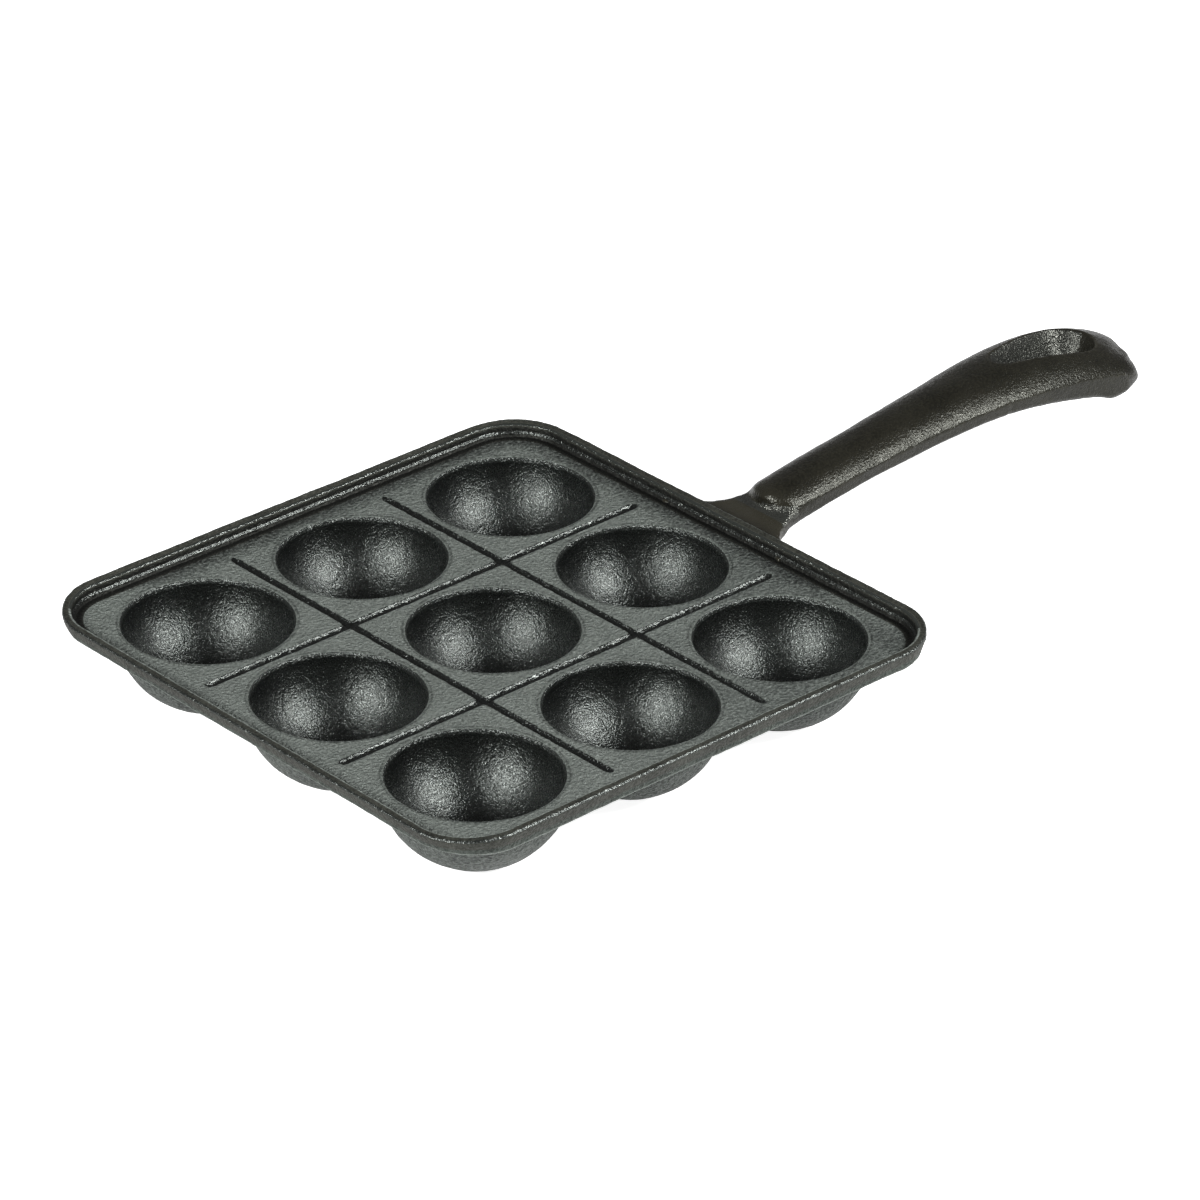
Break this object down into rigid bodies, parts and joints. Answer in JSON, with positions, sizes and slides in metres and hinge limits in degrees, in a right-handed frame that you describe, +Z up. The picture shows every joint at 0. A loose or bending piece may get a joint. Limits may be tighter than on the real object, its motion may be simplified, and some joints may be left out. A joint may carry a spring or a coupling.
{
  "type": "takoyaki maker",
  "caption": "Square cast-iron takoyaki pan: hemispherical cups in a grooved griddle plate with a low rim, and a cast handle with a teardrop hanging eye.",
  "frame": {"origin": "centre of the flat foot under the centre cup, on the plane that the pan stands on", "axes": "+X along the handle towards its tip, +Z up out of the cups, +Y completes the right-handed frame"},
  "size_m": [0.2816, 0.15, 0.0362],
  "materials": {
    "cooking_face": "seasoned, fine-grained sand-cast surface",
    "cup_iron": "seasoned, coarse orange-peel casting surface",
    "rim_iron": "satin black, sand-cast",
    "handle_iron": "satin brownish black, fine grain"
  },
  "bodies": {
    "root": {"griddle_plate": "cooking_face", "rim": "rim_iron", "cup_1_1": "cup_iron", "cup_1_2": "cup_iron", "cup_1_3": "cup_iron", "cup_2_1": "cup_iron", "cup_2_2": "cup_iron", "cup_2_3": "cup_iron", "cup_3_1": "cup_iron", "cup_3_2": "cup_iron", "cup_3_3": "cup_iron", "handle_neck": "handle_iron", "handle_grip": "handle_iron", "hanging_eye": "handle_iron"}
  },
  "joints": []
}
